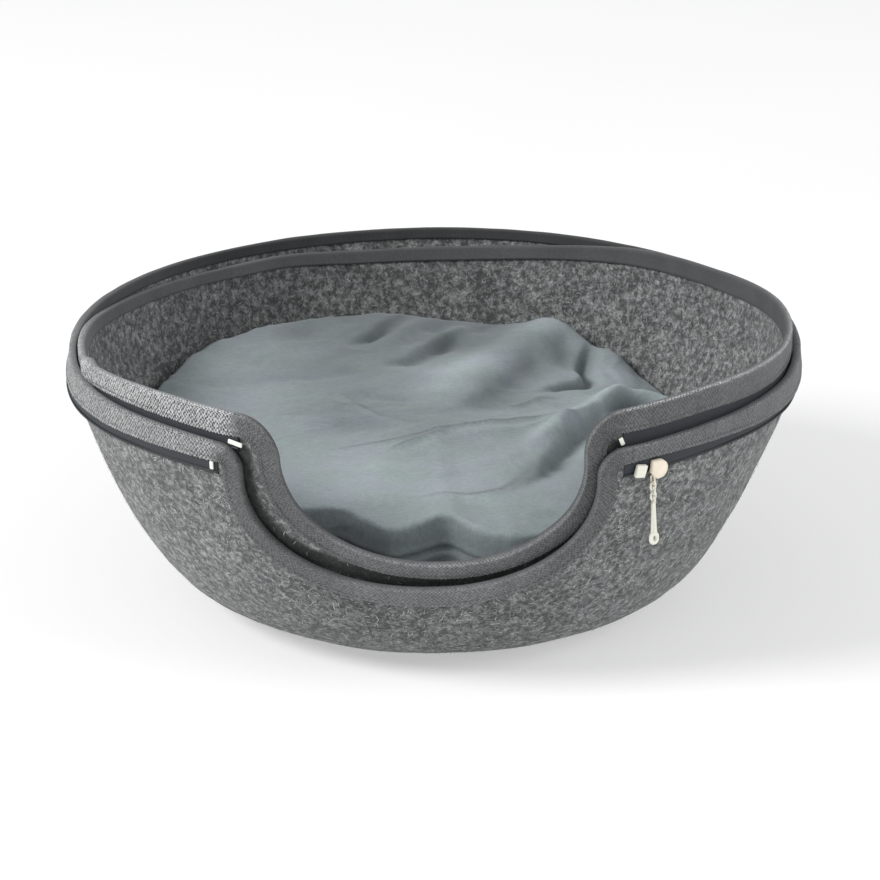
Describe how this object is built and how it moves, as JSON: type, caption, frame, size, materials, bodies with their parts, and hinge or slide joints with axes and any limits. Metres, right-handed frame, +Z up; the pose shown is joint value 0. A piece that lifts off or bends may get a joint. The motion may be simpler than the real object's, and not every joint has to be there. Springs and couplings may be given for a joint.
{
  "type": "felt cat cave, opened and nested as a bed with its cushion",
  "caption": "Round grey felt cat cave, unzipped and nested: one felt bowl inside the other, woven edge tape, a scooped entrance and a loose filled cushion.",
  "frame": {"origin": "centre of the bounding box at its lowest plane, where the outer bowl's flat base rests", "axes": "+Z up, -Y through the scooped entrance at the front, +X to the right as seen from the front"},
  "size_m": [0.4591, 0.4362, 0.1829],
  "materials": {
    "felt": "matte",
    "edge_tape": "matte",
    "zip_tape": "matte",
    "cushion_cover": "matte",
    "painted_metal": "satin"
  },
  "bodies": {
    "root": {"outer_shell": "felt", "inner_shell": "felt", "outer_binding": "edge_tape", "inner_binding": "edge_tape", "outer_zip_tape": "zip_tape", "inner_zip_tape": "zip_tape", "cushion": "cushion_cover", "zip_pin": "painted_metal", "zip_stop_left": "painted_metal", "zip_stop_right": "painted_metal", "zip_box": "painted_metal", "zip_slider": "painted_metal", "chain_link_1": "painted_metal", "chain_link_2": "painted_metal", "chain_link_3": "painted_metal", "pull_bar": "painted_metal"}
  },
  "joints": []
}
